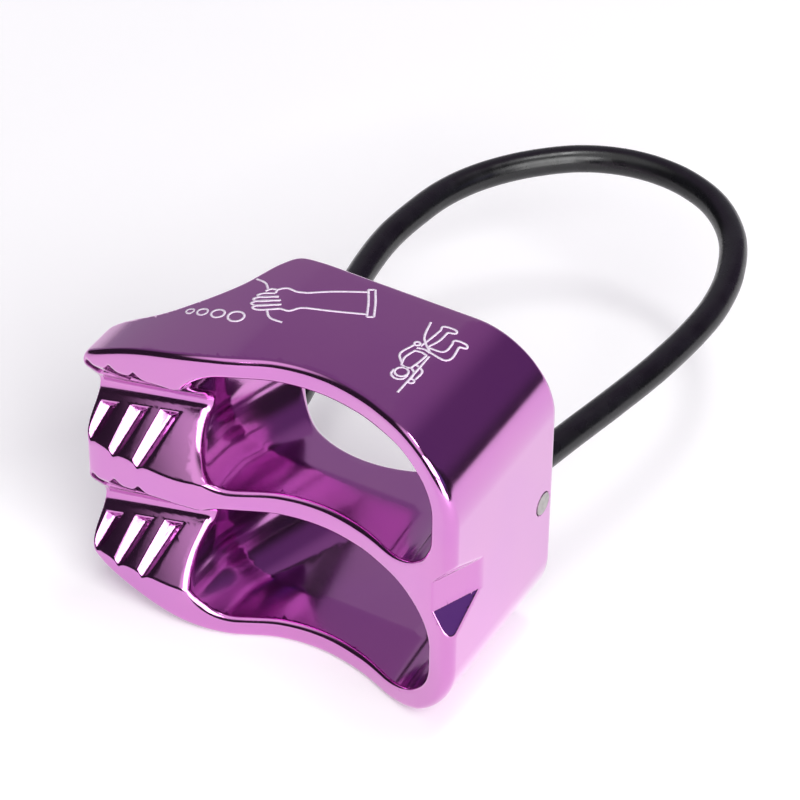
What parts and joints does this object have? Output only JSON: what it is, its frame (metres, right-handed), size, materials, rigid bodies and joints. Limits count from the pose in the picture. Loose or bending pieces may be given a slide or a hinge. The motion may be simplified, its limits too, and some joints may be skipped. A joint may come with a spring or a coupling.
{
  "type": "tube belay device",
  "caption": "Forged tube belay and rappel device with side-by-side rope slots, toothed V-shaped braking grooves and a plastic-coated wire keeper loop that flexes behind it.",
  "frame": {"origin": "under the middle of the forged body's box, on the broad face that it lies on", "axes": "+X towards the smooth end, -X the toothed end, +Y towards the keeper loop, +Z from one rope slot to the other"},
  "size_m": [0.0478, 0.0784, 0.038],
  "materials": {
    "anodised": "polished and anodised purple",
    "steel": "bare stainless steel",
    "jacket": "smooth extruded black plastic"
  },
  "bodies": {
    "body": {"body": "anodised", "retaining_pin_right": "steel", "retaining_pin_left": "steel", "jacket_root_right": "jacket", "jacket_root_left": "jacket", "wire_root_right": "steel", "wire_root_left": "steel"},
    "loop": {"jacket_loop": "jacket", "core_strand": "steel", "outer_strand_1": "steel", "outer_strand_2": "steel", "outer_strand_3": "steel", "outer_strand_4": "steel", "outer_strand_5": "steel", "outer_strand_6": "steel"}
  },
  "joints": [
    {"name": "loop_flex", "type": "hinge", "parent": "body", "child": "loop", "pos_m": [0.005, 0.0193, 0.019], "axis": [1, 0, 0], "range_deg": [-28, 28], "stiffness_Nm_per_rad": 0.35}
  ]
}
